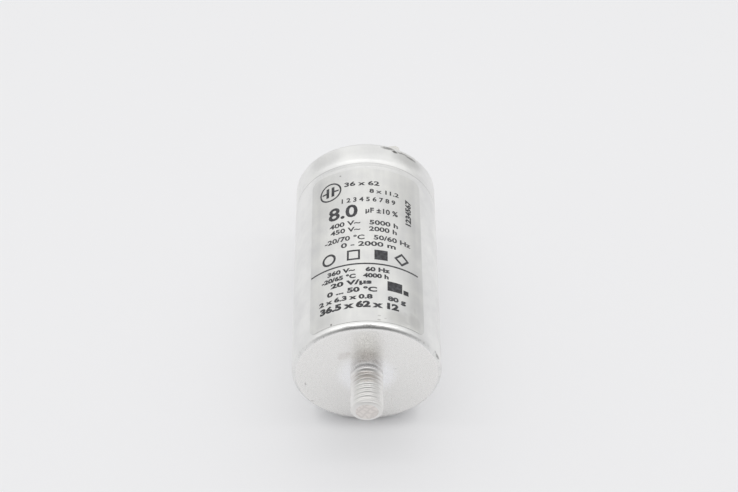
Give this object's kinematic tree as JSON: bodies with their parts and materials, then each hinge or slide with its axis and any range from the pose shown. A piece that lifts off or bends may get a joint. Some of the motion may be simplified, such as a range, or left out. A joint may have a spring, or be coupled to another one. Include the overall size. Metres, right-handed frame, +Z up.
{
  "type": "motor run capacitor",
  "caption": "Cylindrical aluminium motor run capacitor with a threaded mounting stud on its base, a printed label and push-on tab terminals on a plastic lid.",
  "frame": {"origin": "centre of the mounting face on the axis of the can, at the root of the stud", "axes": "+Y along the axis of the can from the stud end to the terminals, +Z up through the middle of the label with the can lying on its side, +X to the right seen from the stud end"},
  "size_m": [0.0364, 0.0856, 0.0365],
  "materials": {
    "can_aluminium": "satin, as extruded",
    "label_film": "matte silver film, printed black",
    "lid_plastic": "moulded, matte",
    "gasket_rubber": "matte",
    "terminal_tin": "tin plated, satin",
    "rivet_tin": "tin plated, satin"
  },
  "bodies": {
    "root": {"can": "can_aluminium", "label": "label_film", "lid": "lid_plastic", "gasket": "gasket_rubber", "terminal_left": "terminal_tin", "terminal_right": "terminal_tin", "rivets": "rivet_tin"}
  },
  "joints": []
}
